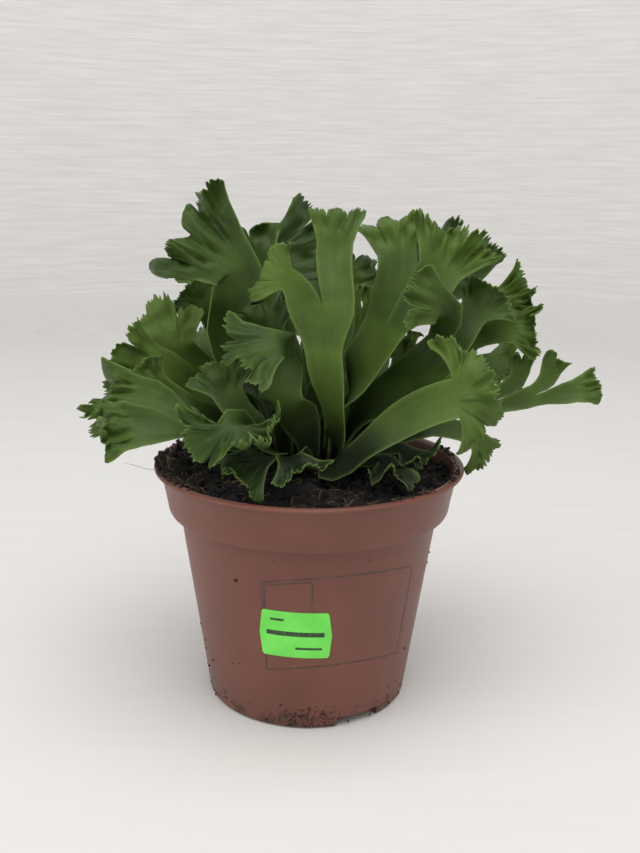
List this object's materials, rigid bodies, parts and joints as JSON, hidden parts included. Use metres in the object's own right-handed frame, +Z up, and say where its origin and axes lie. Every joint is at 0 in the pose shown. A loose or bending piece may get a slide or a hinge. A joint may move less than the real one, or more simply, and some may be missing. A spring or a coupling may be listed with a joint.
{
  "type": "potted fern",
  "caption": "Bird's nest fern with crested, toothed frond tips, growing from a rhizome in soil in a tapered plastic nursery pot with a small label.",
  "frame": {"origin": "centre of the pot's base, on the surface that the pot stands on", "axes": "+Z up along the pot's axis, -Y towards the front with the label, +X to the right as seen from the front"},
  "size_m": [0.1974, 0.1434, 0.2037],
  "materials": {
    "pot_plastic": "matte terracotta brown",
    "soil": "dark crumbly potting soil",
    "rhizome": "rough, brown and scaly",
    "label": "bright green, slightly glossy",
    "leaf": "waxy green leaf, semi-gloss"
  },
  "bodies": {
    "root": {"pot": "pot_plastic", "soil": "soil", "rhizome": "rhizome", "price_label": "label", "frond_01": "leaf", "frond_02": "leaf", "frond_03": "leaf", "frond_04": "leaf", "frond_05": "leaf", "frond_06": "leaf", "frond_07": "leaf", "frond_08": "leaf", "frond_09": "leaf", "frond_10": "leaf", "frond_11": "leaf", "frond_12": "leaf", "frond_13": "leaf", "frond_14": "leaf", "frond_15": "leaf", "frond_16": "leaf", "frond_17": "leaf", "frond_18": "leaf", "frond_19": "leaf", "frond_20": "leaf", "frond_21": "leaf", "frond_22": "leaf", "frond_23": "leaf", "frond_24": "leaf"}
  },
  "joints": []
}
